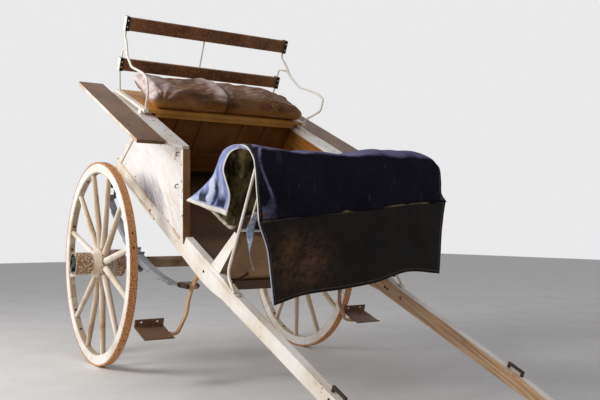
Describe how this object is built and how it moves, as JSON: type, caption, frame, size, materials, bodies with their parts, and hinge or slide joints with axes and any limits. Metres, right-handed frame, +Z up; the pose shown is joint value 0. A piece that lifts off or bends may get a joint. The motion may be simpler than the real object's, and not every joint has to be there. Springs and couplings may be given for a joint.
{
  "type": "two-wheeled horse-drawn gig",
  "caption": "Open sprung cart for a driver and a passenger, with a bench seat on a boxed body, wing boards over spoked wheels, and long shafts that rest on the ground.",
  "frame": {"origin": "on the floor, in the middle of the parked gig's length and width", "axes": "+X towards the horse, +Y to the driver's left, +Z up, with the gig parked on its wheels and shaft tips"},
  "size_m": [3.0242, 1.72, 2.1],
  "materials": {
    "tyre_iron": "rusty worn iron tyre",
    "rusty_iron": "rusty iron",
    "dark_iron": "dark weathered iron",
    "pale_iron": "worn pale paint over rusty iron",
    "grey_iron": "grey painted worn iron",
    "wheel_wood": "worn cream paint on wood",
    "cream_wood": "cream paint with stains",
    "brown_wood": "old brown paint on wood",
    "tan_wood": "bare pine",
    "varnished_wood": "dark varnish",
    "cushion_leather": "slack worn leather",
    "dash_leather": "dark worn leather",
    "apron_cloth": "dark blue cloth",
    "apron_lining": "pale blue grey lining"
  },
  "bodies": {
    "cart": {"axle": "grey_iron", "axle_nuts": "dark_iron", "shafts": "cream_wood", "shaft_tips": "dark_iron", "shaft_staples": "dark_iron", "cross_bars": "brown_wood", "floor_boards": "brown_wood", "side_panels": "cream_wood", "front_posts": "brown_wood", "back_posts": "cream_wood", "side_ledges": "cream_wood", "wing_boards": "brown_wood", "wing_brackets": "dark_iron", "tail_board": "cream_wood", "seat_riser": "brown_wood", "seat_ends": "cream_wood", "seat_board": "brown_wood", "cushion": "cushion_leather", "top_rail": "varnished_wood", "lower_rail": "varnished_wood", "back_rod": "pale_iron", "rail_irons": "dark_iron", "back_stays": "pale_iron", "arm_irons": "pale_iron", "toe_stiles": "cream_wood", "toe_planks": "tan_wood", "dash_frame": "pale_iron", "dash_panel": "dash_leather", "dash_stays": "pale_iron", "leaf_springs": "grey_iron", "spring_clips": "grey_iron", "spring_links": "dark_iron", "back_scrolls": "dark_iron", "shackles": "dark_iron", "step_hangers": "pale_iron", "step_plates": "rusty_iron", "toe_braces": "dark_iron", "side_beads": "cream_wood", "apron_front": "apron_cloth", "apron_flap": "apron_lining"},
    "wheel_left": {"tyre_left": "tyre_iron", "felloes_left": "wheel_wood", "spokes_left": "wheel_wood", "nave_left": "wheel_wood", "nave_bands_left": "dark_iron"},
    "wheel_right": {"tyre_right": "tyre_iron", "felloes_right": "wheel_wood", "spokes_right": "wheel_wood", "nave_right": "wheel_wood", "nave_bands_right": "dark_iron"}
  },
  "joints": [
    {"name": "wheel_left_spin", "type": "hinge", "parent": "cart", "child": "wheel_left", "pos_m": [-0.91213, 0.69, 0.6], "axis": [0, 1, 0], "continuous": true},
    {"name": "wheel_right_spin", "type": "hinge", "parent": "cart", "child": "wheel_right", "pos_m": [-0.91213, -0.69, 0.6], "axis": [0, 1, 0], "continuous": true}
  ]
}
